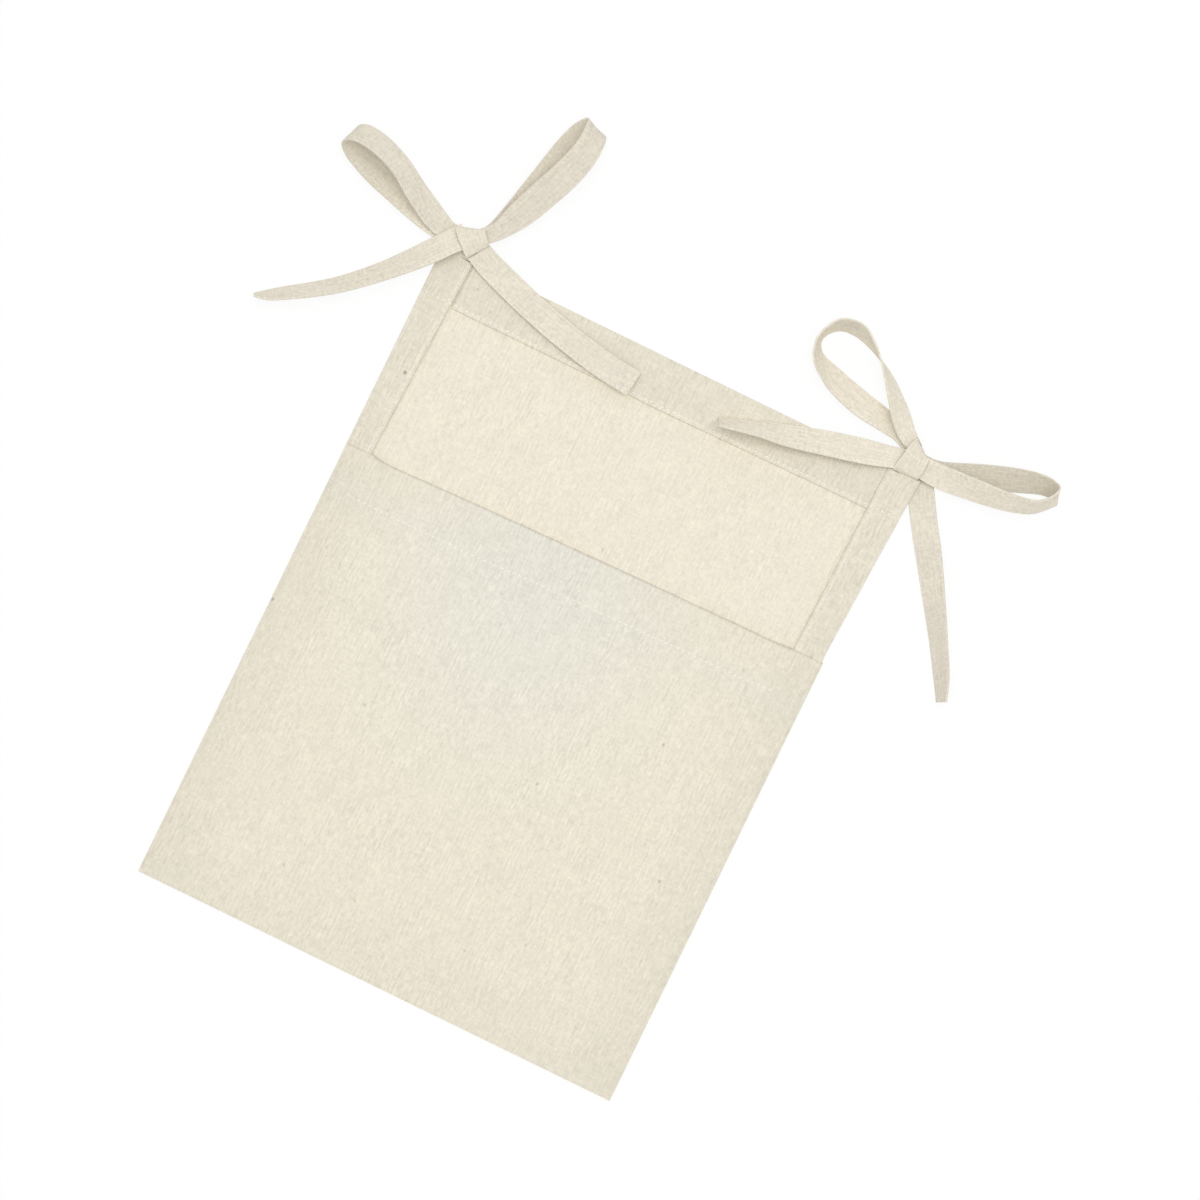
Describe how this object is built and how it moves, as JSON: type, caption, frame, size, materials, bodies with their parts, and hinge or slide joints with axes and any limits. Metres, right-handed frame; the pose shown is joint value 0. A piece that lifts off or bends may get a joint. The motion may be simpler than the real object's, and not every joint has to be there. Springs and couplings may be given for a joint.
{
  "type": "bedside caddy",
  "caption": "Flat linen bedside caddy with a deep front pocket, turned hems and tape ties knotted in bows",
  "frame": {"origin": "middle of the back panel's back face", "axes": "X across the panel, Y from its foot towards the ties, Z out of its front; it lies on its back"},
  "size_m": [0.3857, 0.4143, 0.0229],
  "materials": {
    "linen": "matte",
    "pocket_linen": "matte",
    "tape": "matte",
    "thread": "matte"
  },
  "bodies": {
    "caddy": {"back_panel": "linen", "top_hem": "linen", "bottom_seam": "linen", "left_side_hem": "linen", "right_side_hem": "linen", "top_hem_stitching": "thread", "left_hem_stitching": "thread", "right_hem_stitching": "thread", "left_tie_root": "tape", "right_tie_root": "tape"},
    "pocket": {"pocket_front": "pocket_linen", "pocket_hem": "pocket_linen", "pocket_hem_stitching": "thread"},
    "left_bow": {"left_knot": "tape"},
    "left_outer_loop": {"left_outer_loop": "tape"},
    "left_upper_loop": {"left_upper_loop": "tape"},
    "left_outer_tail": {"left_outer_tail": "tape"},
    "left_inner_tail": {"left_inner_tail": "tape"},
    "right_bow": {"right_knot": "tape"},
    "right_inner_loop": {"right_inner_loop": "tape"},
    "right_outer_loop": {"right_outer_loop": "tape"},
    "right_inner_tail": {"right_inner_tail": "tape"},
    "right_outer_tail": {"right_outer_tail": "tape"}
  },
  "joints": [
    {"name": "pocket_opening", "type": "hinge", "parent": "caddy", "child": "pocket", "pos_m": [0, -0.165, 0.0021], "axis": [1, 0, 0], "range_deg": [0, 12]},
    {"name": "left_bow_swivel", "type": "hinge", "parent": "caddy", "child": "left_bow", "pos_m": [-0.1175, 0.1665, 0.00235], "axis": [0, 0, 1], "range_deg": [-12, 0]},
    {"name": "right_bow_swivel", "type": "hinge", "parent": "caddy", "child": "right_bow", "pos_m": [0.1197, 0.1665, 0.00235], "axis": [0, 0, 1], "range_deg": [0, 12]},
    {"name": "left_outer_loop_lift", "type": "hinge", "parent": "left_bow", "child": "left_outer_loop", "pos_m": [-0.1315, 0.1751, 0.007], "axis": [0.4226, 0.9063, 0], "range_deg": [0, 60]},
    {"name": "left_upper_loop_lift", "type": "hinge", "parent": "left_bow", "child": "left_upper_loop", "pos_m": [-0.1039, 0.1841, 0.00659], "axis": [0.866, -0.5, 0], "range_deg": [0, 60]},
    {"name": "left_outer_tail_lift", "type": "hinge", "parent": "left_bow", "child": "left_outer_tail", "pos_m": [-0.1278, 0.1612, 0.00971], "axis": [-0.7986, 0.6018, 0], "range_deg": [0, 60]},
    {"name": "left_inner_tail_lift", "type": "hinge", "parent": "left_bow", "child": "left_inner_tail", "pos_m": [-0.1015, 0.1677, 0.00708], "axis": [-0.342, -0.9397, 0], "range_deg": [0, 60]},
    {"name": "right_inner_loop_lift", "type": "hinge", "parent": "right_bow", "child": "right_inner_loop", "pos_m": [0.1115, 0.182, 0.0086], "axis": [0.5, 0.866, 0], "range_deg": [0, 60]},
    {"name": "right_outer_loop_lift", "type": "hinge", "parent": "right_bow", "child": "right_outer_loop", "pos_m": [0.1345, 0.1703, 0.00701], "axis": [0.0872, -0.9962, 0], "range_deg": [0, 60]},
    {"name": "right_inner_tail_lift", "type": "hinge", "parent": "right_bow", "child": "right_inner_tail", "pos_m": [0.1095, 0.1682, 0.00843], "axis": [-0.1736, 0.9848, 0], "range_deg": [0, 60]},
    {"name": "right_outer_tail_lift", "type": "hinge", "parent": "right_bow", "child": "right_outer_tail", "pos_m": [0.1346, 0.1599, 0.002], "axis": [-0.8387, -0.5446, 0], "range_deg": [0, 60]}
  ]
}
